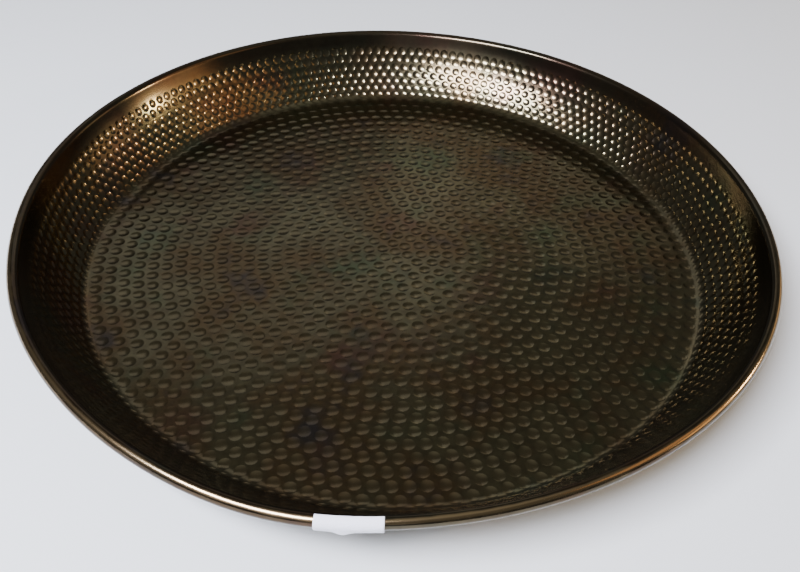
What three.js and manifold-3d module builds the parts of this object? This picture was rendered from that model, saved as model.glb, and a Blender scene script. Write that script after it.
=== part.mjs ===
// Round hammered brass tray with a wired edge.
// Units are millimetres, +Z is up, and the origin is the centre of the underside.
import * as THREE from 'three';
import { mergeVertices } from 'three/addons/utils/BufferGeometryUtils.js';
import Module from 'manifold-3d';

// ---- driving dimensions -------------------------------------------------------------------
const trayDiameter = 600; // outside of the rolled edge
const trayHeight = 60; // underside to the top of the rolled edge
const wallSpread = 50; // how far the wall leans out, from the flat floor to the outside
const sheetThickness = 1.2; // one sheet makes the floor, wall and rolled edge
const bendRadius = 12; // bend between the floor and the wall
const wallFootAngle = 46; // slope of the wall where the bend ends, in degrees
const wireDiameter = 6; // wire inside the rolled edge
const wireClearance = 0.3; // wire to the sheet rolled round it
const lipClearance = 0.3; // free lip of the roll to the outside of the wall
const wireJointGap = 1.5; // open joint between the two ends of the wire
const labelWidth = 39.5; // stock label, along the edge
const labelThickness = 0.4; // paper with its glue
const labelClearance = 0.3; // label to the rolled edge
const labelBareTurn = 14; // bare turn of the roll between the wall and the label, in degrees
const labelOuterAngle = -24; // where the label leaves the roll, on the outside, in degrees
const labelTail = 3.5; // length of its free lower edge
const labelTurn = -94; // place round the tray, from +X, in degrees

// ---- how finely round shapes are cut into flats -------------------------------------------
const turnSegments = 88; // round the tray
const bendSegments = 4;
const wallSegments = 4;
const rollSegments = 13;
const wireSegments = 14;
const labelSegments = 10;

// ---- sizes that follow --------------------------------------------------------------------
const radians = THREE.MathUtils.degToRad;
const trayRadius = trayDiameter / 2;
const wireRadius = wireDiameter / 2;
const rollInside = wireRadius + wireClearance;
const rollMiddle = rollInside + sheetThickness / 2;
const rollOutside = rollInside + sheetThickness;
const rollCentre = new THREE.Vector2(trayRadius - rollOutside, trayHeight - rollOutside);
const floorRadius = trayRadius - wallSpread;
const wireJointTurn = labelTurn + 180; // the wire's joint lies opposite the label

// The point of a circle at an angle in degrees, in the (radius, height) plane.
function onCircle(centre, radius, angle) {
  const turn = radians(angle);
  return new THREE.Vector2(centre.x + radius * Math.cos(turn), centre.y + radius * Math.sin(turn));
}

// Points along an arc, both ends included.
function arc(centre, radius, fromAngle, toAngle, segments) {
  const points = [];
  for (let i = 0; i <= segments; i += 1) {
    points.push(onCircle(centre, radius, fromAngle + (toAngle - fromAngle) * (i / segments)));
  }
  return points;
}

// ---- shape of the sheet, as arcs about fixed centres ---------------------------------------
// The bend turns up from the floor. The wall is one long hollow arc that starts at the bend's
// slope and meets the roll without a corner, which fixes its radius.
const bendCentre = new THREE.Vector2(floorRadius, sheetThickness / 2 + bendRadius);
const bendStartAngle = -90;
const wallStartAngle = bendStartAngle + wallFootAngle;
const wallFoot = onCircle(bendCentre, bendRadius, wallStartAngle);
const toRoll = wallFoot.clone().sub(rollCentre);
const inward = new THREE.Vector2(-Math.cos(radians(wallStartAngle)), -Math.sin(radians(wallStartAngle)));
const wallRadius = (toRoll.lengthSq() - rollMiddle ** 2) / (2 * (rollMiddle - inward.dot(toRoll)));
const wallCentre = wallFoot.clone().addScaledVector(inward, wallRadius);
const wallTop = rollCentre.clone().sub(wallCentre).angle();
const wallTopAngle = THREE.MathUtils.radToDeg(wallTop > Math.PI ? wallTop - 2 * Math.PI : wallTop);
const rollStartAngle = wallTopAngle + 180;
const lipTurn = THREE.MathUtils.radToDeg(Math.acos(1 - (sheetThickness + lipClearance) / rollMiddle));
const rollEndAngle = rollStartAngle - 360 + lipTurn;
const labelInnerAngle = rollStartAngle - labelBareTurn;

// The side of the sheet that faces into the tray (side = 1) or out of it (side = -1), from the
// middle of the tray to the lip of the roll.
function sheetSide(side) {
  const offset = side * sheetThickness / 2;
  return [
    new THREE.Vector2(0, sheetThickness / 2 + offset),
    ...arc(bendCentre, bendRadius - offset, bendStartAngle, wallStartAngle, bendSegments),
    ...arc(wallCentre, wallRadius - offset, wallStartAngle, wallTopAngle, wallSegments).slice(1),
    ...arc(rollCentre, rollMiddle + offset, rollStartAngle, rollEndAngle, rollSegments).slice(1),
  ];
}

// A closed (radius, height) outline turned about the tray's axis. The lathe turns about Y, so
// the result is stood up on Z.
function turned(outline) {
  const geometry = new THREE.LatheGeometry(outline, turnSegments);
  return geometry.rotateX(Math.PI / 2);
}

// ---- joins and cuts -----------------------------------------------------------------------
const wasm = await Module();
wasm.setup();
const mergeDistance = 1e-4;

function toSolid(geometry) {
  const bare = geometry.clone();
  bare.deleteAttribute('normal');
  bare.deleteAttribute('uv');
  const merged = mergeVertices(bare, mergeDistance);
  return new wasm.Manifold(new wasm.Mesh({
    numProp: 3,
    vertProperties: new Float32Array(merged.attributes.position.array),
    triVerts: new Uint32Array(merged.index.array),
  }));
}

function toGeometry(solid) {
  const mesh = solid.getMesh();
  const geometry = new THREE.BufferGeometry();
  geometry.setAttribute('position', new THREE.BufferAttribute(mesh.vertProperties, 3));
  geometry.setIndex(new THREE.BufferAttribute(mesh.triVerts, 1));
  geometry.computeVertexNormals();
  return geometry;
}

// A box that stands well clear of the roll on all sides, as wide along the edge as given.
function blockAcrossRing(width, turn) {
  const reach = 10 * rollOutside; // past the roll, the wire and the label on every side
  const block = new THREE.BoxGeometry(reach, width, reach);
  block.translate(rollCentre.x, 0, rollCentre.y);
  return block.rotateZ(radians(turn));
}

// ---- the pieces ---------------------------------------------------------------------------
// The pan: floor, bend, wall and rolled edge are one sheet of brass.
function makeTrayPan() {
  const outline = [...sheetSide(-1), ...sheetSide(1).reverse()];
  const material = new THREE.MeshStandardMaterial({ color: 0x4a4030, roughness: 0.38, metalness: 1 });
  const mesh = new THREE.Mesh(turned(outline), material);
  mesh.name = 'tray_pan';
  return mesh;
}

// The wire that stiffens the edge: a ring of round wire with its two ends a little apart.
function makeEdgeWire() {
  const section = arc(rollCentre, wireRadius, 0, 360, wireSegments);
  const ring = toSolid(turned(section));
  const joint = toSolid(blockAcrossRing(wireJointGap, wireJointTurn));
  const material = new THREE.MeshStandardMaterial({ color: 0x8a8c8e, roughness: 0.45, metalness: 1 });
  const mesh = new THREE.Mesh(toGeometry(ring.subtract(joint)), material);
  mesh.name = 'edge_wire';
  return mesh;
}

// The label: a strip of paper folded over the rolled edge, with its lower edge standing free.
function makePaperLabel() {
  const inside = rollOutside + labelClearance;
  const outside = inside + labelThickness;
  const tailTurn = radians(labelOuterAngle - 90);
  const tail = new THREE.Vector2(Math.cos(tailTurn), Math.sin(tailTurn)).multiplyScalar(labelTail);
  const insideTail = onCircle(rollCentre, inside, labelOuterAngle).add(tail);
  const outsideTail = onCircle(rollCentre, outside, labelOuterAngle).add(tail);
  const strip = [
    insideTail,
    outsideTail,
    ...arc(rollCentre, outside, labelOuterAngle, labelInnerAngle, labelSegments),
    ...arc(rollCentre, inside, labelInnerAngle, labelOuterAngle, labelSegments),
    insideTail,
  ];
  const ring = toSolid(turned(strip));
  const slot = toSolid(blockAcrossRing(labelWidth, labelTurn));
  const material = new THREE.MeshStandardMaterial({ color: 0xe6e4f0, roughness: 0.85, metalness: 0 });
  const mesh = new THREE.Mesh(toGeometry(ring.intersect(slot)), material);
  mesh.name = 'paper_label';
  return mesh;
}

const tray = new THREE.Group();
tray.add(makeTrayPan(), makeEdgeWire(), makePaperLabel());

export default tray;
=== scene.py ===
# %% [markdown]
# # A hammered brass tray
#
# The tray is one sheet of brass. It was raised from a flat disc, hammered in rings with a
# round-faced hammer, rolled over a steel wire at its edge, and darkened with an antique finish.
# A blank paper stock label is folded over the edge. This lesson builds the sheet with Geometry
# Nodes, because thousands of hammer marks that follow a rule are what that tool is best at.
# The measured model of the tray is loaded first, and the main sizes below are taken from it.

import math

import bmesh
import bpy
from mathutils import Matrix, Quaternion, Vector, noise


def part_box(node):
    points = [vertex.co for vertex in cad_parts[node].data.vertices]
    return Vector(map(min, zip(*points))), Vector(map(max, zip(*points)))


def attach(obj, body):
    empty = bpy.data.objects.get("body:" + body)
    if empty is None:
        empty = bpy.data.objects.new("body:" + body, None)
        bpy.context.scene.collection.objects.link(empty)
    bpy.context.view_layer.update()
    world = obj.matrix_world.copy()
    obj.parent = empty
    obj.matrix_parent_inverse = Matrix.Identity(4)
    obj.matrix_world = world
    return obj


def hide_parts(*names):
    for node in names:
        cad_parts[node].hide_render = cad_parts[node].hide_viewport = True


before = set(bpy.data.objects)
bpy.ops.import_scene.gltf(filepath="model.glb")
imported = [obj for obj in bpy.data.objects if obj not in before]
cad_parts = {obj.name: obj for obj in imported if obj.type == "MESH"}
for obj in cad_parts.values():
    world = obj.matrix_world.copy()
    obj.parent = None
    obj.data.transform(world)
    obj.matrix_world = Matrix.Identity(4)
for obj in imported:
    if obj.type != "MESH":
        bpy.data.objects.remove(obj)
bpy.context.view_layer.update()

# %% [markdown]
# ## Small helpers
#
# Colours are easiest to choose as the hex values that a screen shows, but a shader works in
# linear light, so one function converts them. Another adds a node to any tree, with its
# settings, its values and its links, because node trees are most of what follows.


# %% Helpers for colours and nodes
def linear(hex_colour):
    """Four linear values for a hex colour such as "7a6a45"."""
    channels = [int(hex_colour[i:i + 2], 16) / 255 for i in (0, 2, 4)]
    return [c / 12.92 if c <= 0.04045 else ((c + 0.055) / 1.055) ** 2.4 for c in channels] + [1.0]


def add_node(tree, kind, inputs=None, **settings):
    """Adds a node. inputs gives each socket, by name or number, a value or another node's output."""
    made = tree.nodes.new(kind)
    for name, value in settings.items():
        setattr(made, name, value)
    for key, value in (inputs or {}).items():
        if isinstance(value, bpy.types.NodeSocket):
            tree.links.new(value, made.inputs[key])
        else:
            made.inputs[key].default_value = value
    return made


def set_stops(ramp, stops):
    """Gives a colour ramp its stops, as pairs of a position and a hex colour."""
    while len(ramp.elements) > 1:
        ramp.elements.remove(ramp.elements[-1])
    ramp.elements[0].position, ramp.elements[0].color = stops[0][0], linear(stops[0][1])
    for position, hex_colour in stops[1:]:
        ramp.elements.new(position).color = linear(hex_colour)


# %% [markdown]
# ## The camera
#
# The viewer stands close to the tray, a little above the table, and looks down at it. The camera
# is leant over by two degrees, as a camera held in the hand is.

# %% Camera
eye = Vector((0.0, -0.5557, 0.4771))
look = Vector((0.00694, 0.73303, -0.68016))
lean_degrees = 2.277
lens_mm, sensor_mm = 38.25, 36

camera = bpy.data.objects.new("camera", bpy.data.cameras.new("camera"))
bpy.context.collection.objects.link(camera)
camera.data.lens = lens_mm
camera.data.sensor_width = sensor_mm
camera.data.clip_start = 0.01
camera.rotation_mode = "QUATERNION"
camera.location = eye
level_view = look.to_track_quat("-Z", "Y")
camera.rotation_quaternion = level_view @ Quaternion((0, 0, 1), math.radians(lean_degrees))
bpy.context.scene.camera = camera
print("camera looks down by", round(math.degrees(math.asin(-look.normalized().z)), 1), "degrees")

# %% [markdown]
# ## The table and the light
#
# Polished metal has hardly any colour of its own to show: it shows the room. So the lights matter
# as much as the finish. A strong cool panel stands high in front on the left, like a window, with
# a weaker one below it. A small warm lamp and warm walls are on the right. Dim grey walls behind
# the tray give its floor something to mirror. Each light is a soft panel, so no glint is hard.


# %% Table
def matt(name, hex_colour, roughness):
    made = bpy.data.materials.new(name)
    made.use_nodes = True
    shader = made.node_tree.nodes["Principled BSDF"]
    shader.inputs["Base Color"].default_value = linear(hex_colour)
    shader.inputs["Roughness"].default_value = roughness
    return made


table_mesh = bpy.data.meshes.new("table")
half = 5.0
corners = [(-half, -half, 0), (half, -half, 0), (half, half, 0), (-half, half, 0)]
table_mesh.from_pydata(corners, [], [(0, 1, 2, 3)])
table_top = bpy.data.objects.new("table", table_mesh)
bpy.context.collection.objects.link(table_top)
table_mesh.materials.append(matt("pale_cotton_cloth", "e4e8e8", 0.9))


# %% Lights
def soft_panel(name, azimuth, elevation, distance, width, height, radiance, hex_colour):
    """A rectangular light that faces the tray. Azimuth is from +Y towards +X, in degrees."""
    turn, rise = math.radians(azimuth), math.radians(elevation)
    towards = Vector((math.sin(turn) * math.cos(rise), math.cos(turn) * math.cos(rise), math.sin(rise)))
    panel = bpy.data.objects.new(name, bpy.data.lights.new(name, "AREA"))
    bpy.context.collection.objects.link(panel)
    panel.data.shape = "RECTANGLE"
    panel.data.size, panel.data.size_y = width, height
    panel.data.energy = radiance * math.pi * width * height
    panel.data.color = linear(hex_colour)[:3]
    panel.location = towards * distance
    panel.rotation_mode = "QUATERNION"
    panel.rotation_quaternion = towards.to_track_quat("Z", "Y")
    return panel


soft_panel("cool_window", -141, 53, 1.6, 0.90, 0.40, 75, "eef0ff")
soft_panel("window_sill", -152, 34, 1.8, 0.95, 0.50, 1.0, "f4f4ff")
soft_panel("warm_lamp", 86, 19, 2.0, 0.17, 0.20, 110, "ffe2bc")
soft_panel("warm_glow", 96, 18, 2.4, 1.1, 0.70, 2.4, "ffce98")
soft_panel("warm_high", 102, 43, 2.4, 1.3, 0.85, 0.9, "ffc490")
soft_panel("warm_wall", 65, 15, 2.5, 0.7, 0.6, 1.1, "ffdcb0")
soft_panel("grey_wall", -13, 42, 3.0, 1.7, 0.8, 0.46, "f4f6ff")
soft_panel("far_wall", 13, 34, 3.1, 1.3, 0.55, 0.42, "fff4e6")
soft_panel("pale_front", -170, 18, 2.6, 1.5, 1.1, 0.35, "f0f0f4")

# The room: dim near the table, a little paler above it, and palest overhead.
world = bpy.data.worlds.new("room")
bpy.context.scene.world = world
world.use_nodes = True
room = world.node_tree
direction = add_node(room, "ShaderNodeTexCoord")
height = add_node(room, "ShaderNodeSeparateXYZ", {0: direction.outputs["Generated"]})
walls = add_node(room, "ShaderNodeValToRGB", {0: height.outputs["Z"]})
set_stops(walls.color_ramp, (
    (0.0, "626466"), (0.50, "606264"), (0.58, "72726e"),
    (0.86, "72726e"), (0.95, "a8a8a4"), (1.0, "b4b4b0")))
room.links.new(walls.outputs["Color"], room.nodes["Background"].inputs["Color"])

# %% [markdown]
# ## The line of the sheet
#
# Cut the tray through its middle and the sheet shows as one line: flat floor, a tight bend, a
# long hollow wall, and a roll round the wire that ends just short of the wall. All of it is arcs
# that meet without a corner. The line is drawn once, through the middle of the sheet's
# thickness, and both faces of the sheet are later placed half a thickness to either side.

# %% Sizes from the measured model
_, pan_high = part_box("tray_pan")
wire_low, wire_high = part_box("edge_wire")
sheet_thickness = 0.0012
wall_spread = 0.050
tray_radius = pan_high.x
wire_radius = (wire_high.z - wire_low.z) / 2
roll_centre = Vector((wire_high.x - wire_radius, (wire_low.z + wire_high.z) / 2))
roll_outside = pan_high.z - roll_centre.y
roll_middle = roll_outside - sheet_thickness / 2
floor_radius = tray_radius - wall_spread
print("roll is", round(2000 * roll_outside, 2), "mm thick; floor is", round(2000 * floor_radius), "mm wide")


# %% Draw the line
def on_circle(centre, radius, angle):
    return Vector((centre.x + radius * math.cos(angle), centre.y + radius * math.sin(angle)))


def arc(centre, radius, start, end, steps):
    return [on_circle(centre, radius, start + (end - start) * i / steps) for i in range(steps + 1)]


bend_radius = 0.012
wall_foot_degrees = 46
lip_gap = 0.0003
bend_centre = Vector((floor_radius, sheet_thickness / 2 + bend_radius))
wall_start = math.radians(-90 + wall_foot_degrees)
wall_foot = on_circle(bend_centre, bend_radius, wall_start)
to_roll = wall_foot - roll_centre
inward = -Vector((math.cos(wall_start), math.sin(wall_start)))
wall_radius = (to_roll.length_squared - roll_middle ** 2) / (2 * (roll_middle - inward.dot(to_roll)))
wall_centre = wall_foot + inward * wall_radius
wall_top = math.atan2(*reversed(roll_centre - wall_centre))
roll_start = wall_top + math.pi
lip_turn = math.acos(1 - (sheet_thickness + lip_gap) / roll_middle)
line = [Vector((0, sheet_thickness / 2))]
line += arc(bend_centre, bend_radius, math.radians(-90), wall_start, 40)
line += arc(wall_centre, wall_radius, wall_start, wall_top, 60)[1:]
wall_end = sum((b - a).length for a, b in zip(line, line[1:]))
line += arc(roll_centre, roll_middle, roll_start, roll_start - 2 * math.pi + lip_turn, 120)[1:]
line_length = sum((b - a).length for a, b in zip(line, line[1:]))
print("sheet from the middle to the wall's top:", round(1000 * wall_end, 1), "mm")
print("sheet from the middle to the lip:", round(1000 * line_length, 1), "mm")

section_curve = bpy.data.curves.new("sheet_line", "CURVE")
section_curve.dimensions = "3D"
spline = section_curve.splines.new("POLY")
spline.points.add(len(line) - 1)
for point, (radius, height) in zip(spline.points, line):
    point.co = (radius, 0, height, 1)
section = bpy.data.objects.new("sheet_line", section_curve)
bpy.context.collection.objects.link(section)

# %% [markdown]
# ## A flat band full of hammer marks
#
# The hammering is laid out on a flat disc first, where the distance from the middle is the
# distance along the sheet's line. Each ring of blows is a set of shallow round dishes. The metal
# left between the dishes is filled in with triangles that share the dishes' rims, so every mark
# is a real hollow with a crisp edge, and no triangle is spent on flat metal.

# %% Node group for one band
band = bpy.data.node_groups.new("hammered_band", "GeometryNodeTree")
band_inputs = {
    "Inner Edge": 0.0, "Outer Edge": 0.257, "First Row": 0.01125, "Row Pitch": 0.01125, "Rows": 22,
    "Mark Spacing": 0.0121, "Keep In Step": False, "Mark Radius": 0.0043, "Mark Depth": 0.00035,
    "Mark Sides": 12, "Mark Rings": 2, "Unevenness": 0.0006, "Points Around": 256, "Seed": 1,
}
socket_kinds = {float: "NodeSocketFloat", int: "NodeSocketInt", bool: "NodeSocketBool"}


def name_inputs(tree, inputs, geometry=False):
    """Gives a tree its named inputs and one geometry output, and returns its two end nodes."""
    if geometry:
        tree.interface.new_socket("Geometry", in_out="INPUT", socket_type="NodeSocketGeometry")
    for name, value in inputs.items():
        made = tree.interface.new_socket(name, in_out="INPUT", socket_type=socket_kinds[type(value)])
        made.default_value = value
    tree.interface.new_socket("Geometry", in_out="OUTPUT", socket_type="NodeSocketGeometry")
    return add_node(tree, "NodeGroupInput"), add_node(tree, "NodeGroupOutput")


given, result = name_inputs(band, band_inputs)

# One dish, one unit in radius and one unit deep, with its rings of points crowded to the rim.
rim_crowding, bowl_power = 0.32, 3.0
cone = add_node(band, "GeometryNodeMeshCone", {
    "Vertices": given.outputs["Mark Sides"], "Side Segments": given.outputs["Mark Rings"],
    "Radius Top": 0.0, "Radius Bottom": 1.0, "Depth": 1.0}, fill_type="NONE")
place = add_node(band, "GeometryNodeInputPosition")
flat = add_node(band, "ShaderNodeVectorMath", {0: place.outputs[0], 1: (1, 1, 0)}, operation="MULTIPLY")
reach = add_node(band, "ShaderNodeVectorMath", {0: flat.outputs[0]}, operation="LENGTH")
crowded = add_node(band, "ShaderNodeMath", {0: reach.outputs["Value"], 1: rim_crowding}, operation="POWER")
steepened = add_node(band, "ShaderNodeMath", {0: crowded.outputs[0], 1: bowl_power}, operation="POWER")
hollow = add_node(band, "ShaderNodeMath", {0: 1.0, 1: steepened.outputs[0]}, operation="SUBTRACT")
outward = add_node(band, "ShaderNodeVectorMath", {0: flat.outputs[0]}, operation="NORMALIZE")
ring_place = add_node(band, "ShaderNodeVectorMath", {
    0: outward.outputs[0], "Scale": crowded.outputs[0]}, operation="SCALE")
sunk = add_node(band, "ShaderNodeMath", {0: hollow.outputs[0], 1: -1.0}, operation="MULTIPLY")
sink = add_node(band, "ShaderNodeCombineXYZ", {"Z": sunk.outputs[0]})
dish_place = add_node(band, "ShaderNodeVectorMath", {
    0: ring_place.outputs[0], 1: sink.outputs[0]}, operation="ADD")
marked = add_node(band, "GeometryNodeStoreNamedAttribute", {
    "Geometry": cone.outputs["Mesh"], "Name": "hollow", "Value": hollow.outputs[0]},
    data_type="FLOAT", domain="POINT")
dish = add_node(band, "GeometryNodeSetPosition", {
    "Geometry": marked.outputs[0], "Position": dish_place.outputs[0]})

# The rows: one point for each, then that point repeated once for each blow in the row.
rows = add_node(band, "GeometryNodePoints", {"Count": given.outputs["Rows"]})
index = add_node(band, "GeometryNodeInputIndex")
along = add_node(band, "ShaderNodeMath", {
    0: index.outputs[0], 1: given.outputs["Row Pitch"], 2: given.outputs["First Row"]},
    operation="MULTIPLY_ADD")
middle = add_node(band, "ShaderNodeMath", {
    0: given.outputs["Inner Edge"], 1: given.outputs["Outer Edge"]}, operation="ADD")
middle_row = add_node(band, "ShaderNodeMath", {0: middle.outputs[0], 1: 0.5}, operation="MULTIPLY")
counted_at = add_node(band, "GeometryNodeSwitch", {
    "Switch": given.outputs["Keep In Step"], "False": along.outputs[0],
    "True": middle_row.outputs[0]}, input_type="FLOAT")
around = add_node(band, "ShaderNodeMath", {0: counted_at.outputs[0], 1: 2 * math.pi}, operation="MULTIPLY")
spaces = add_node(band, "ShaderNodeMath", {
    0: around.outputs[0], 1: given.outputs["Mark Spacing"]}, operation="DIVIDE")
rounded = add_node(band, "ShaderNodeMath", {0: spaces.outputs[0]}, operation="ROUND")
blows = add_node(band, "ShaderNodeMath", {0: rounded.outputs[0], 1: 1.0}, operation="MAXIMUM")
half_step = add_node(band, "ShaderNodeMath", {0: index.outputs[0], 1: 0.5}, operation="MULTIPLY")
any_step = add_node(band, "FunctionNodeRandomValue", {
    "ID": index.outputs[0], "Seed": given.outputs["Seed"]}, data_type="FLOAT")
start = add_node(band, "GeometryNodeSwitch", {
    "Switch": given.outputs["Keep In Step"], "False": any_step.outputs["Value"],
    "True": half_step.outputs[0]}, input_type="FLOAT")
kept = rows.outputs[0]
for name, value in (("row_at", along), ("row_blows", blows), ("row_start", start)):
    kept = add_node(band, "GeometryNodeStoreNamedAttribute", {
        "Geometry": kept, "Name": name, "Value": value.outputs[0]},
        data_type="FLOAT", domain="POINT").outputs[0]
repeated = add_node(band, "GeometryNodeDuplicateElements", {
    "Geometry": kept, "Amount": blows.outputs[0]}, domain="POINT")
row_at, row_blows, row_start = (
    add_node(band, "GeometryNodeInputNamedAttribute", {
        "Name": name}, data_type="FLOAT").outputs["Attribute"]
    for name in ("row_at", "row_blows", "row_start"))
turn = add_node(band, "ShaderNodeMath", {
    0: repeated.outputs["Duplicate Index"], 1: row_start}, operation="ADD")
share = add_node(band, "ShaderNodeMath", {0: turn.outputs[0], 1: row_blows}, operation="DIVIDE")
angle = add_node(band, "ShaderNodeMath", {0: share.outputs[0], 1: 2 * math.pi}, operation="MULTIPLY")
out_to_row = add_node(band, "ShaderNodeCombineXYZ", {"X": row_at})
turned = add_node(band, "ShaderNodeVectorRotate", {
    "Vector": out_to_row.outputs[0], "Angle": angle.outputs[0]}, rotation_type="Z_AXIS")
least = add_node(band, "ShaderNodeMath", {0: given.outputs["Unevenness"], 1: -1.0}, operation="MULTIPLY")
least_off = add_node(band, "ShaderNodeCombineXYZ", {"X": least.outputs[0], "Y": least.outputs[0]})
most_off = add_node(band, "ShaderNodeCombineXYZ", {
    "X": given.outputs["Unevenness"], "Y": given.outputs["Unevenness"]})
stray = add_node(band, "FunctionNodeRandomValue", {
    0: least_off.outputs[0], 1: most_off.outputs[0], "Seed": given.outputs["Seed"]},
    data_type="FLOAT_VECTOR")
blow_place = add_node(band, "ShaderNodeVectorMath", {
    0: turned.outputs[0], 1: stray.outputs[0]}, operation="ADD")
struck = add_node(band, "GeometryNodeSetPosition", {
    "Geometry": repeated.outputs["Geometry"], "Position": blow_place.outputs[0]})
facing = add_node(band, "ShaderNodeCombineXYZ", {"Z": angle.outputs[0]})
size_seed = add_node(band, "ShaderNodeMath", {0: given.outputs["Seed"], 1: 7.0}, operation="ADD")
strength = add_node(band, "FunctionNodeRandomValue", {
    0: (0.93, 0.93, 0.75), 1: (1.0, 1.0, 1.25), "Seed": size_seed.outputs[0]}, data_type="FLOAT_VECTOR")
mark_size = add_node(band, "ShaderNodeCombineXYZ", {
    "X": given.outputs["Mark Radius"], "Y": given.outputs["Mark Radius"], "Z": given.outputs["Mark Depth"]})
blow_size = add_node(band, "ShaderNodeVectorMath", {
    0: strength.outputs[0], 1: mark_size.outputs[0]}, operation="MULTIPLY")
placed = add_node(band, "GeometryNodeInstanceOnPoints", {
    "Points": struck.outputs[0], "Instance": dish.outputs[0],
    "Rotation": facing.outputs[0], "Scale": blow_size.outputs[0]})
dishes = add_node(band, "GeometryNodeRealizeInstances", {"Geometry": placed.outputs[0]})

# The metal between: the dishes' rims and the band's two edges, filled with triangles.
beside = add_node(band, "GeometryNodeInputMeshEdgeNeighbors")
is_rim = add_node(band, "FunctionNodeCompare", {
    2: beside.outputs[0], 3: 1}, data_type="INT", operation="EQUAL")
rims = add_node(band, "GeometryNodeMeshToCurve", {
    "Mesh": dishes.outputs[0], "Selection": is_rim.outputs[0]})
outer_edge = add_node(band, "GeometryNodeCurvePrimitiveCircle", {
    "Resolution": given.outputs["Points Around"], "Radius": given.outputs["Outer Edge"]}, mode="RADIUS")
inner_edge = add_node(band, "GeometryNodeCurvePrimitiveCircle", {
    "Resolution": given.outputs["Points Around"], "Radius": given.outputs["Inner Edge"]}, mode="RADIUS")
has_inner = add_node(band, "FunctionNodeCompare", {
    0: given.outputs["Inner Edge"], 1: 0.001}, data_type="FLOAT", operation="GREATER_THAN")
inner_or_none = add_node(band, "GeometryNodeSwitch", {
    "Switch": has_inner.outputs[0], "True": inner_edge.outputs[0]}, input_type="GEOMETRY")
outlines = add_node(band, "GeometryNodeJoinGeometry")
for part in (inner_or_none.outputs[0], outer_edge.outputs[0], rims.outputs[0]):
    band.links.new(part, outlines.inputs[0])
between = add_node(band, "GeometryNodeFillCurve", {"Curve": outlines.outputs[0]}, mode="TRIANGLES")
whole = add_node(band, "GeometryNodeJoinGeometry")
for part in (between.outputs[0], dishes.outputs[0]):
    band.links.new(part, whole.inputs[0])
band.links.new(whole.outputs[0], result.inputs[0])
print("band tree has", len(band.nodes), "nodes")

# %% [markdown]
# ## One face of the sheet, bent to shape
#
# Three bands make the hammered part: the floor, five rows on the foot of the wall, and two rows
# above a narrow smooth line. A plain strip goes on over the roll. Everything is still flat, so
# the last nodes look up each point's distance on the sheet's line and stand the point there.

# %% Node group for one face
# Places along the line of the sheet, as distances from the middle.
crease, smooth_line, plain_from = 0.2544, 0.2937, 0.3117
lift_gone_from, lift_gone_to = 0.247, 0.264
wander_gone_from = 0.22
strip_overrun = 0.0012

face = bpy.data.node_groups.new("sheet_face", "GeometryNodeTree")
face_inputs = {
    "Side": 1.0, "Sheet Thickness": sheet_thickness, "Lift": 0.0, "Wander": 0.0007, "Depth Share": 1.0,
    "Mark Sides": 12, "Mark Rings": 2, "Points Around": 256, "Strip Rows": 26, "Plain From": plain_from,
    "Line Length": 0.35, "Floor Depth": 0.00035, "Wall Depth": 0.00045,
}
given, result = name_inputs(face, face_inputs, geometry=True)
floor_depth, wall_depth = (
    add_node(face, "ShaderNodeMath", {
        0: given.outputs[name], 1: given.outputs["Depth Share"]}, operation="MULTIPLY").outputs[0]
    for name in ("Floor Depth", "Wall Depth"))
bands = (
    {"Outer Edge": crease, "First Row": 0.0, "Row Pitch": 0.01128, "Rows": 23, "Mark Spacing": 0.0121,
     "Mark Radius": 0.0052, "Mark Depth": floor_depth, "Unevenness": 0.0003, "Seed": 3},
    {"Inner Edge": crease, "Outer Edge": smooth_line, "First Row": 0.2589, "Row Pitch": 0.00757, "Rows": 5,
     "Mark Spacing": 0.0093, "Keep In Step": True, "Mark Radius": 0.0042, "Mark Depth": wall_depth,
     "Unevenness": 0.00012, "Seed": 11},
    {"Inner Edge": smooth_line, "Outer Edge": given.outputs["Plain From"], "First Row": 0.2984,
     "Row Pitch": 0.0081, "Rows": 2, "Mark Spacing": 0.0096, "Keep In Step": True,
     "Mark Radius": 0.0044, "Mark Depth": wall_depth,
     "Unevenness": 0.00015, "Seed": 19},
)
flat_parts = add_node(face, "GeometryNodeJoinGeometry")
for sizes in bands:
    made = add_node(face, "GeometryNodeGroup", node_tree=band)
    passed = {name: given.outputs[name] for name in ("Mark Sides", "Mark Rings", "Points Around")}
    for name, value in {**sizes, **passed}.items():
        if isinstance(value, bpy.types.NodeSocket):
            face.links.new(value, made.inputs[name])
        else:
            made.inputs[name].default_value = value
    face.links.new(made.outputs[0], flat_parts.inputs[0])

# The plain strip: a grid wrapped into a flat ring, from the last band to just past the lip.
columns = add_node(face, "ShaderNodeMath", {0: given.outputs["Points Around"], 1: 1.0}, operation="ADD")
grid = add_node(face, "GeometryNodeMeshGrid", {
    "Size X": 1.0, "Size Y": 1.0, "Vertices X": columns.outputs[0],
    "Vertices Y": given.outputs["Strip Rows"]})
spread = add_node(face, "ShaderNodeSeparateXYZ", {0: grid.outputs["UV Map"]})
past_lip = add_node(face, "ShaderNodeMath", {
    0: given.outputs["Line Length"], 1: strip_overrun}, operation="ADD")
strip_at = add_node(face, "ShaderNodeMapRange", {
    "Value": spread.outputs["Y"], "To Min": given.outputs["Plain From"], "To Max": past_lip.outputs[0]})
strip_turn = add_node(face, "ShaderNodeMath", {
    0: spread.outputs["X"], 1: 2 * math.pi}, operation="MULTIPLY")
strip_out = add_node(face, "ShaderNodeCombineXYZ", {"X": strip_at.outputs[0]})
strip_place = add_node(face, "ShaderNodeVectorRotate", {
    "Vector": strip_out.outputs[0], "Angle": strip_turn.outputs[0]}, rotation_type="Z_AXIS")
strip = add_node(face, "GeometryNodeSetPosition", {
    "Geometry": grid.outputs["Mesh"], "Position": strip_place.outputs[0]})
face.links.new(strip.outputs[0], flat_parts.inputs[0])
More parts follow.
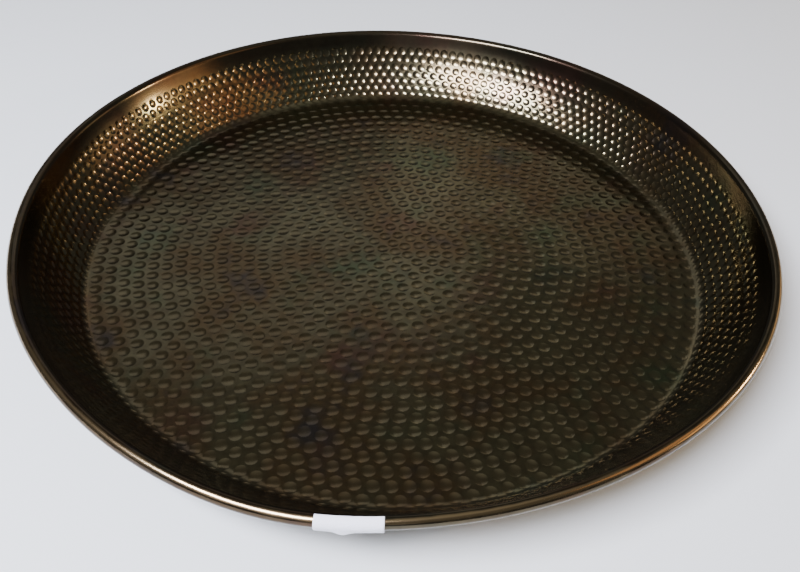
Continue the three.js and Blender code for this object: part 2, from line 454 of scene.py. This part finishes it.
flat_sheet = add_node(face, "GeometryNodeMergeByDistance", {
    "Geometry": flat_parts.outputs[0], "Distance": 0.00001})

# The wrap: distance from the middle becomes distance along the line.
place = add_node(face, "GeometryNodeInputPosition")
level = add_node(face, "ShaderNodeVectorMath", {0: place.outputs[0], 1: (1, 1, 0)}, operation="MULTIPLY")
distance = add_node(face, "ShaderNodeVectorMath", {0: level.outputs[0]}, operation="LENGTH")
outward = add_node(face, "ShaderNodeVectorMath", {0: level.outputs[0]}, operation="NORMALIZE")
noted = add_node(face, "GeometryNodeStoreNamedAttribute", {
    "Geometry": flat_sheet.outputs[0], "Name": "along_sheet", "Value": distance.outputs["Value"]},
    data_type="FLOAT", domain="POINT")
sample = add_node(face, "GeometryNodeSampleCurve", {
    "Curves": given.outputs["Geometry"], "Length": distance.outputs["Value"]},
    mode="LENGTH", use_all_curves=True)
slope = add_node(face, "ShaderNodeSeparateXYZ", {0: sample.outputs["Tangent"]})
minus_rise = add_node(face, "ShaderNodeMath", {0: slope.outputs["Z"], 1: -1.0}, operation="MULTIPLY")
upright = add_node(face, "ShaderNodeCombineXYZ", {"X": minus_rise.outputs[0], "Z": slope.outputs["X"]})
own_height = add_node(face, "ShaderNodeSeparateXYZ", {0: place.outputs[0]})
half_sheet = add_node(face, "ShaderNodeMath", {
    0: given.outputs["Sheet Thickness"], 1: 0.5}, operation="MULTIPLY")
side_off = add_node(face, "ShaderNodeMath", {
    0: half_sheet.outputs[0], 1: given.outputs["Side"]}, operation="MULTIPLY")
under_off = add_node(face, "ShaderNodeMath", {0: half_sheet.outputs[0], 1: -1.0}, operation="MULTIPLY")
lip_edge = add_node(face, "ShaderNodeMath", {
    0: given.outputs["Line Length"], 1: strip_overrun / 2}, operation="ADD")
is_lip = add_node(face, "ShaderNodeMath", {
    0: distance.outputs["Value"], 1: lip_edge.outputs[0]}, operation="GREATER_THAN")
face_off = add_node(face, "GeometryNodeSwitch", {
    "Switch": is_lip.outputs[0], "False": side_off.outputs[0],
    "True": under_off.outputs[0]}, input_type="FLOAT")
waves = add_node(face, "ShaderNodeTexNoise", {"Vector": level.outputs[0], "Scale": 13.0, "Detail": 1.0})
faded = add_node(face, "ShaderNodeMapRange", {
    "Value": distance.outputs["Value"], "From Min": wander_gone_from, "From Max": given.outputs["Plain From"],
    "To Min": given.outputs["Wander"], "To Max": 0.0}, interpolation_type="SMOOTHSTEP")
wave_height = add_node(face, "ShaderNodeMath", {
    0: waves.outputs[0], 1: faded.outputs[0]}, operation="MULTIPLY")
lift_fade = add_node(face, "ShaderNodeMapRange", {
    "Value": distance.outputs["Value"], "From Min": lift_gone_from, "From Max": lift_gone_to,
    "To Min": given.outputs["Lift"], "To Max": 0.0})
height = own_height.outputs["Z"]
for addend in (face_off.outputs[0], wave_height.outputs[0], lift_fade.outputs[0]):
    height = add_node(face, "ShaderNodeMath", {0: height, 1: addend}, operation="ADD").outputs[0]
raised = add_node(face, "ShaderNodeVectorMath", {0: upright.outputs[0], "Scale": height}, operation="SCALE")
on_section = add_node(face, "ShaderNodeVectorMath", {
    0: sample.outputs["Position"], 1: raised.outputs[0]}, operation="ADD")
section_place = add_node(face, "ShaderNodeSeparateXYZ", {0: on_section.outputs[0]})
spun = add_node(face, "ShaderNodeVectorMath", {
    0: outward.outputs[0], "Scale": section_place.outputs["X"]}, operation="SCALE")
stood = add_node(face, "ShaderNodeCombineXYZ", {"Z": section_place.outputs["Z"]})
bent_place = add_node(face, "ShaderNodeVectorMath", {
    0: spun.outputs[0], 1: stood.outputs[0]}, operation="ADD")
bent = add_node(face, "GeometryNodeSetPosition", {
    "Geometry": noted.outputs[0], "Position": bent_place.outputs[0]})
face.links.new(bent.outputs[0], result.inputs[0])
print("face tree has", len(face.nodes), "nodes")

# %% [markdown]
# ## Both faces together
#
# The inside face carries the blows. The outside face shows them only as faint swellings, so its
# marks are shallower and have fewer sides. The faces share their points at the lip, where a merge
# closes them into one solid sheet.

# %% The whole sheet
brass = bpy.data.materials.new("antiqued_brass")

sheet = bpy.data.node_groups.new("hammered_sheet", "GeometryNodeTree")
sheet_inputs = {
    "Sheet Thickness": sheet_thickness, "Points Around": 240, "Floor Depth": 0.00044, "Wall Depth": 0.00046,
    "Outside Share": 0.5, "Wander": 0.0007, "Line Length": line_length,
}
given, result = name_inputs(sheet, sheet_inputs, geometry=True)
lift = add_node(sheet, "ShaderNodeMath", {0: given.outputs["Floor Depth"], 1: 1.3}, operation="MULTIPLY")
lift_outside = add_node(sheet, "ShaderNodeMath", {
    0: lift.outputs[0], 1: given.outputs["Outside Share"]}, operation="MULTIPLY")
faces = add_node(sheet, "GeometryNodeJoinGeometry")
for sizes in (
    {"Side": 1.0, "Depth Share": 1.0, "Lift": 0.0, "Mark Sides": 12, "Mark Rings": 2, "Strip Rows": 24},
    {"Side": -1.0, "Depth Share": given.outputs["Outside Share"], "Lift": lift_outside.outputs[0],
     "Mark Sides": 6, "Mark Rings": 1, "Strip Rows": 12},
):
    made = add_node(sheet, "GeometryNodeGroup", node_tree=face)
    passed = {name: given.outputs[name] for name in (
        "Geometry", "Sheet Thickness", "Points Around", "Floor Depth", "Wall Depth", "Wander",
        "Line Length")}
    for name, value in {**sizes, **passed}.items():
        if isinstance(value, bpy.types.NodeSocket):
            sheet.links.new(value, made.inputs[name])
        else:
            made.inputs[name].default_value = value
    sheet.links.new(made.outputs[0], faces.inputs[0])
closed = add_node(sheet, "GeometryNodeMergeByDistance", {"Geometry": faces.outputs[0], "Distance": 0.00001})
smooth = add_node(sheet, "GeometryNodeSetShadeSmooth", {"Geometry": closed.outputs[0]})
real = add_node(sheet, "GeometryNodeRealizeInstances", {"Geometry": smooth.outputs[0]})
painted = add_node(sheet, "GeometryNodeSetMaterial", {"Geometry": real.outputs[0], "Material": brass})
sheet.links.new(painted.outputs[0], result.inputs[0])


def run_tree(carrier, tree, values, name):
    """Runs a tree on a carrier object, and returns what it made as a plain mesh."""
    modifier = carrier.modifiers.new(name, "NODES")
    modifier.node_group = tree
    for item in tree.interface.items_tree:
        if item.item_type == "SOCKET" and item.in_out == "INPUT" and item.name in values:
            modifier[item.identifier] = values[item.name]
    depsgraph = bpy.context.evaluated_depsgraph_get()
    made = bpy.data.meshes.new_from_object(carrier.evaluated_get(depsgraph), depsgraph=depsgraph)
    carrier.modifiers.remove(modifier)
    made.name = name
    return made


pan_mesh = run_tree(section, sheet, sheet_inputs, "brass_pan")
bpy.data.objects.remove(section)
bpy.data.curves.remove(section_curve)
pan_mesh.calc_loop_triangles()
print("pan has", len(pan_mesh.loop_triangles), "triangles")


# %% [markdown]
# ## A closed shell with crisp rims
#
# Real sheet has no gaps, so the mesh should have none: doubled points are joined, every face is
# turned outwards, and open edges are counted, where none is the right answer. Smooth shading
# would round off the rim of each hammer mark, so those edges alone are marked sharp.


# %% Close the pan and sharpen its rims
def tidy_shell(mesh, merge=0.000005):
    """Joins doubled points, points all faces outwards, and counts open edges."""
    shell = bmesh.new()
    shell.from_mesh(mesh)
    bmesh.ops.remove_doubles(shell, verts=shell.verts, dist=merge)
    bmesh.ops.dissolve_degenerate(shell, edges=shell.edges, dist=merge)
    bmesh.ops.recalc_face_normals(shell, faces=shell.faces)
    open_edges = sum(not edge.is_manifold for edge in shell.edges)
    volume = shell.calc_volume(signed=True)
    if volume < 0:
        bmesh.ops.reverse_faces(shell, faces=shell.faces)
    shell.to_mesh(mesh)
    shell.free()
    for polygon in mesh.polygons:
        polygon.use_smooth = True
    print(mesh.name, "open edges:", open_edges, "volume:", round(abs(volume) * 1e6, 1), "cubic cm")


tidy_shell(pan_mesh)


def crisp_rims(mesh):
    """Marks the rim of every dish sharp, where a dish meets the metal between."""
    shell = bmesh.new()
    shell.from_mesh(mesh)
    hollow_of = shell.verts.layers.float["hollow"]
    for edge in shell.edges:
        dished = [any(corner[hollow_of] > 0.01 for corner in side.verts) for side in edge.link_faces]
        edge.smooth = dished[0] == dished[-1]
    print("sharp edges on the dishes' rims:", sum(not edge.smooth for edge in shell.edges))
    shell.to_mesh(mesh)
    shell.free()


crisp_rims(pan_mesh)

# %% [markdown]
# ## Out of true
#
# A tray this wide is never quite round or flat when it is beaten and rolled by hand. The edge
# here is pulled about by a millimetre or two, in slow waves with one to four lobes, and knocked
# out of line in two places. One function gives that movement to the pan, the wire and the label alike,
# so that they still fit each other. It fades to nothing at the flat floor.


# %% Bend a mesh out of true
# Waves round the edge: how many lobes, where one of them peaks in degrees from +X, and how far
# a peak widens and lifts the edge in millimetres.
edge_waves = (
    (1, -90, 0.0, 1.0),
    (2, -35, 0.0, 1.2),
    (3, 0, 0.6, -0.5),
    (4, -20, 1.2, -0.6),
)
# Knocks: where they are and how far each reaches round the edge, in degrees, then the same two.
edge_knocks = (
    (-152, 13, 1.5, 0.0),
    (-103, 13, 1.5, -1.8),
)


def out_of_true(mesh):
    """Moves the edge of a mesh by the waves and the knocks, and the wall under it by less."""
    for vertex in mesh.vertices:
        x, y, z = vertex.co
        reach, turn = math.hypot(x, y), math.degrees(math.atan2(y, x))
        share = min(max((reach - floor_radius) / (roll_centre.x - roll_outside - floor_radius), 0), 1)
        share = 0.001 * share * share * (3 - 2 * share)
        felt = [(math.cos(math.radians(lobes * (turn - peak))), widen, lift)
                for lobes, peak, widen, lift in edge_waves]
        for place, half_width, widen, lift in edge_knocks:
            off = (turn - place + 180) % 360 - 180
            felt.append((math.exp(-((off / half_width) ** 2)), widen, lift))
        widen = sum(part * widen_there for part, widen_there, _ in felt)
        lift = sum(part * lift_there for part, _, lift_there in felt)
        if reach > 0:
            grow = 1 + share * widen / reach
            vertex.co = (x * grow, y * grow, z + share * lift)


out_of_true(pan_mesh)
pan = bpy.data.objects.new("brass_pan", pan_mesh)
bpy.context.collection.objects.link(pan)

# %% [markdown]
# ## The wire in the edge
#
# The edge is rolled round a steel wire, bent to a ring and cut to length, so its ends almost
# meet. The roll hides it, but the piece is there, and it is what makes the edge so full.


# %% Wire
end_rounding = 0.0004


def steel_wire_ring(name, centre, radius, start, end, steps, sides):
    """A round wire bent into an open ring, with slightly rounded ends."""
    points, faces = [], []
    for i in range(steps + 1):
        turn = start + (end - start) * i / steps
        for k in range(sides):
            around = 2 * math.pi * k / sides
            spot = on_circle(centre, radius, around)
            points.append((spot.x * math.cos(turn), spot.x * math.sin(turn), spot.y))
    for i in range(steps):
        for k in range(sides):
            a, b = i * sides + k, i * sides + (k + 1) % sides
            faces.append((a, b, b + sides, a + sides))
    for i, way in ((0, -1), (steps, 1)):
        turn = (start, end)[i > 0] + way * end_rounding / centre.x
        tip = len(points)
        points.append((centre.x * math.cos(turn), centre.x * math.sin(turn), centre.y))
        for k in range(sides):
            ring = (i * sides + k, i * sides + (k + 1) % sides)
            faces.append((ring[0], ring[1], tip) if way > 0 else (ring[1], ring[0], tip))
    mesh = bpy.data.meshes.new(name)
    mesh.from_pydata(points, [], faces)
    along = mesh.attributes.new("along", "FLOAT_VECTOR", "POINT")
    for i in range(steps + 1):
        for k in range(sides):
            around = 2 * math.pi * k / sides
            length = centre.x * (end - start) * i / steps
            along.data[i * sides + k].vector = (length, radius * math.cos(around), radius * math.sin(around))
    return mesh


label_low, label_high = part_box("paper_label")
label_turn = math.atan2((label_low.y + label_high.y) / 2, (label_low.x + label_high.x) / 2)
joint_turn = label_turn + math.pi
joint_gap = 0.0015
joint_half = (joint_gap / 2 + end_rounding) / roll_centre.x
wire_mesh = steel_wire_ring(
    "steel_wire", roll_centre, wire_radius,
    joint_turn + joint_half, joint_turn + 2 * math.pi - joint_half, steps=240, sides=16)
tidy_shell(wire_mesh)
out_of_true(wire_mesh)
wire = bpy.data.objects.new("steel_wire", wire_mesh)
bpy.context.collection.objects.link(wire)

# %% [markdown]
# ## The label
#
# A blank paper label is folded over the edge at the front. It hugs the roll, its lower edge has
# come away and buckled into a small peak, and its surface is not perfectly flat.

# %% Label
label_width = 0.0395
crest_degrees = 60
label_inner = roll_start - math.radians(crest_degrees)
label_outer = math.radians(-24)
label_gap, paper_thickness, tail_length = 0.00022, 0.00014, 0.0035
buckle_at, buckle_half = -0.0035, 0.0045
buckle_longer = 0.30
tail_curl, buckle_curl = 0.0004, 0.0014
wrinkle_height = 0.00010
across_steps, roll_steps, tail_steps = 48, 30, 8
points, faces = [], []
hug = roll_outside + label_gap
for i in range(across_steps + 1):
    across = (i / across_steps - 0.5) * label_width
    buckle = math.exp(-((across - buckle_at) / buckle_half) ** 2)
    for j in range(roll_steps + tail_steps + 1):
        if j <= roll_steps:
            turn = label_inner + (label_outer - label_inner) * j / roll_steps
            spot = on_circle(roll_centre, hug, turn)
            normal = Vector((math.cos(turn), math.sin(turn)))
        else:
            down = (j - roll_steps) / tail_steps * tail_length * (1 + buckle_longer * buckle)
            turn = label_outer
            normal = Vector((math.cos(turn), math.sin(turn)))
            spot = on_circle(roll_centre, hug, turn) + Vector((normal.y, -normal.x)) * down
        loose = max(0.0, (j - roll_steps * 0.8) / (roll_steps * 0.2 + tail_steps))
        wrinkle = wrinkle_height * (noise.noise(Vector((across * 260, j * 0.35, 4.0))) + 1)
        spot = spot + normal * (wrinkle + loose * loose * (tail_curl + buckle_curl * buckle))
        place = label_turn + across / roll_centre.x
        points.append((spot.x * math.cos(place), spot.x * math.sin(place), spot.y))
rows_down = roll_steps + tail_steps + 1
for i in range(across_steps):
    for j in range(rows_down - 1):
        a = i * rows_down + j
        faces.append((a, a + 1, a + rows_down + 1, a + rows_down))
label_mesh = bpy.data.meshes.new("blank_label")
label_mesh.from_pydata(points, [], faces)
paper = bmesh.new()
paper.from_mesh(label_mesh)
bmesh.ops.recalc_face_normals(paper, faces=paper.faces)
bmesh.ops.solidify(paper, geom=paper.faces[:], thickness=-paper_thickness)
paper.to_mesh(label_mesh)
paper.free()
tidy_shell(label_mesh)
out_of_true(label_mesh)
label = bpy.data.objects.new("blank_label", label_mesh)
bpy.context.collection.objects.link(label)
label_length = hug * (label_inner - label_outer) + tail_length
print("label flat size:", round(1000 * label_width, 1), "x", round(1000 * label_length, 1), "mm")

# %% [markdown]
# ## Antiqued brass
#
# The finish is a dark chemical stain over brass, rubbed back and waxed. To the eye it is a deep
# olive-brown metal with cloudy patches of green and red-brown, still glossy enough to mirror the
# lights. Noise that is larger than the marks makes the clouds, and fine noise makes the specks.
# The distance along the sheet, kept on every point, says where the metal from the plain band under the roll
# onwards is left dark, partly a darker stain and partly painted shade, and where a line near the crest of the
# edge is paler, partly rubbed by hands and partly a painted highlight.

# %% Brass material
brass.use_nodes = True
tree = brass.node_tree
shader = tree.nodes["Principled BSDF"]
shader.inputs["Metallic"].default_value = 1.0
where = add_node(tree, "ShaderNodeTexCoord").outputs["Object"]
clouds = add_node(tree, "ShaderNodeTexNoise", {
    "Vector": where, "Scale": 11.0, "Detail": 4.0, "Roughness": 0.6})
stain = add_node(tree, "ShaderNodeValToRGB", {0: clouds.outputs[0]})
set_stops(stain.color_ramp, (
    (0.32, "4a4543"), (0.42, "66563f"), (0.52, "655e49"), (0.60, "6f6850"), (0.70, "5d5f4d")))
green_clouds = add_node(tree, "ShaderNodeTexNoise", {
    "Vector": where, "Scale": 17.0, "Detail": 3.0, "W": 2.0}, noise_dimensions="4D")
green_share = add_node(tree, "ShaderNodeMapRange", {
    "Value": green_clouds.outputs[0], "From Min": 0.54, "From Max": 0.70, "To Max": 0.7})
greened = add_node(tree, "ShaderNodeMix", {
    0: green_share.outputs[0], 6: stain.outputs[0], 7: linear("53614a")}, data_type="RGBA")
red_clouds = add_node(tree, "ShaderNodeTexNoise", {
    "Vector": where, "Scale": 14.0, "Detail": 3.0, "W": 7.0}, noise_dimensions="4D")
red_share = add_node(tree, "ShaderNodeMapRange", {
    "Value": red_clouds.outputs[0], "From Min": 0.56, "From Max": 0.70, "To Max": 0.7})
reddened = add_node(tree, "ShaderNodeMix", {
    0: red_share.outputs[0], 6: greened.outputs[2], 7: linear("6b4b42")}, data_type="RGBA")
specks = add_node(tree, "ShaderNodeTexNoise", {"Vector": where, "Scale": 190.0, "Detail": 3.0})
speck_share = add_node(tree, "ShaderNodeMapRange", {
    "Value": specks.outputs[0], "From Min": 0.4, "From Max": 0.7, "To Max": 0.35})
mottled = add_node(tree, "ShaderNodeMix", {
    0: speck_share.outputs[0], 6: reddened.outputs[2], 7: linear("413a2f")}, data_type="RGBA")

# The struck hollows are a little paler, a painted highlight. From the plain band under the roll onwards the
# metal is darker, partly a darker stain and partly painted shade, apart from a narrow paler line near the
# crest of the roll, partly rubbed wear and partly a painted highlight.
stain_and_shade_from, stain_and_shade_to = 0.3065, 0.3145
wear_and_highlight_least, wear_and_highlight_most = 0.0012, 0.0023
hollow_here = add_node(tree, "ShaderNodeAttribute", attribute_name="hollow").outputs["Fac"]
along_here = add_node(tree, "ShaderNodeAttribute", attribute_name="along_sheet").outputs["Fac"]
# Painted highlight: each struck hollow is mixed towards a paler brass, standing in for the glint in the
# hollow.
hollow_highlight_share = add_node(tree, "ShaderNodeMath", {0: hollow_here, 1: 0.34}, operation="MULTIPLY")
hollow_highlighted = add_node(tree, "ShaderNodeMix", {
    0: hollow_highlight_share.outputs[0], 6: mottled.outputs[2], 7: linear("82745a")}, data_type="RGBA")
# Darker stain with painted shade: from the plain band onwards the colour is mixed towards a dark brown,
# standing in partly for the dark that the band and the roll mirror.
stain_and_shade_share = add_node(tree, "ShaderNodeMapRange", {
    "Value": along_here, "From Min": stain_and_shade_from, "From Max": stain_and_shade_to, "To Max": 0.6})
stain_and_shade_banded = add_node(tree, "ShaderNodeMix", {
    0: stain_and_shade_share.outputs[0], 6: hollow_highlighted.outputs[2], 7: linear("3b302a")}, data_type="RGBA")
# Rubbed wear with a painted highlight: a narrow line near the crest of the roll is mixed towards a pale
# brass, placed where the roll's highlight falls.
crest = wall_end + (roll_start - math.radians(crest_degrees)) * roll_middle
from_crest = add_node(tree, "ShaderNodeMath", {0: along_here, 1: crest}, operation="SUBTRACT")
off_crest = add_node(tree, "ShaderNodeMath", {0: from_crest.outputs[0]}, operation="ABSOLUTE")
wear_and_highlight_noise = add_node(tree, "ShaderNodeTexNoise", {"Vector": where, "Scale": 60.0, "Detail": 3.0})
wear_and_highlight_width = add_node(tree, "ShaderNodeMapRange", {
    "Value": wear_and_highlight_noise.outputs[0], "From Min": 0.3, "From Max": 0.7,
    "To Min": wear_and_highlight_least, "To Max": wear_and_highlight_most})
wear_and_highlight_reach = add_node(tree, "ShaderNodeMath", {
    0: off_crest.outputs[0], 1: wear_and_highlight_width.outputs[0]}, operation="DIVIDE")
wear_and_highlight_share = add_node(tree, "ShaderNodeMapRange", {
    "Value": wear_and_highlight_reach.outputs[0], "From Min": 0.4, "From Max": 1.3, "To Min": 0.75, "To Max": 0.0},
    interpolation_type="SMOOTHSTEP")
rubbed_and_highlit = add_node(tree, "ShaderNodeMix", {
    0: wear_and_highlight_share.outputs[0], 6: stain_and_shade_banded.outputs[2], 7: linear("a08a68")}, data_type="RGBA")
tree.links.new(rubbed_and_highlit.outputs[2], shader.inputs["Base Color"])
gloss = add_node(tree, "ShaderNodeMapRange", {
    "Value": clouds.outputs[0], "From Min": 0.3, "From Max": 0.7, "To Min": 0.22, "To Max": 0.14})
tree.links.new(gloss.outputs[0], shader.inputs["Roughness"])

# %% [markdown]
# ## Steel and paper
#
# The wire is drawn steel: dull grey, with fine lines along its length where the die scraped it.
# The label is matt, faintly cool white paper, and only its fibres break up the surface.

# %% Steel and paper materials
steel = bpy.data.materials.new("drawn_steel")
steel.use_nodes = True
tree = steel.node_tree
shader = tree.nodes["Principled BSDF"]
shader.inputs["Metallic"].default_value = 1.0
along = add_node(tree, "ShaderNodeAttribute", attribute_name="along")
stretch = add_node(tree, "ShaderNodeMapping", {
    "Vector": along.outputs["Vector"], "Scale": (30, 2500, 2500)})
lines = add_node(tree, "ShaderNodeTexNoise", {"Vector": stretch.outputs[0], "Scale": 1.0, "Detail": 2.0})
steel_tone = add_node(tree, "ShaderNodeMix", {
    0: lines.outputs[0], 6: linear("8f9092"), 7: linear("b4b5b6")}, data_type="RGBA")
steel_gloss = add_node(tree, "ShaderNodeMapRange", {
    "Value": lines.outputs[0], "To Min": 0.3, "To Max": 0.5})
tree.links.new(steel_tone.outputs[2], shader.inputs["Base Color"])
tree.links.new(steel_gloss.outputs[0], shader.inputs["Roughness"])

label_paper = bpy.data.materials.new("matt_paper")
label_paper.use_nodes = True
tree = label_paper.node_tree
shader = tree.nodes["Principled BSDF"]
shader.inputs["Roughness"].default_value = 0.8
where = add_node(tree, "ShaderNodeTexCoord").outputs["Object"]
fibres = add_node(tree, "ShaderNodeTexNoise", {"Vector": where, "Scale": 900.0, "Detail": 3.0})
paper_tone = add_node(tree, "ShaderNodeMix", {
    0: fibres.outputs[0], 6: linear("e9e9f5"), 7: linear("f6f6fc")}, data_type="RGBA")
tree.links.new(paper_tone.outputs[2], shader.inputs["Base Color"])
paper_bump = add_node(tree, "ShaderNodeBump", {
    "Height": fibres.outputs[0], "Strength": 0.15, "Distance": 0.0001})
tree.links.new(paper_bump.outputs[0], shader.inputs["Normal"])
wire_mesh.materials.append(steel)
label_mesh.materials.append(label_paper)

# %% [markdown]
# ## Joining the measured model
#
# Each finished piece stands in for one node of the measured model and moves with its one body.

# %% Fix each piece to the measured model
for piece, node, finish in (
    (pan, "tray_pan", "antique_brass"),
    (wire, "edge_wire", "steel_wire"),
    (label, "paper_label", "label_paper"),
):
    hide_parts(node)
    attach(piece, "root")
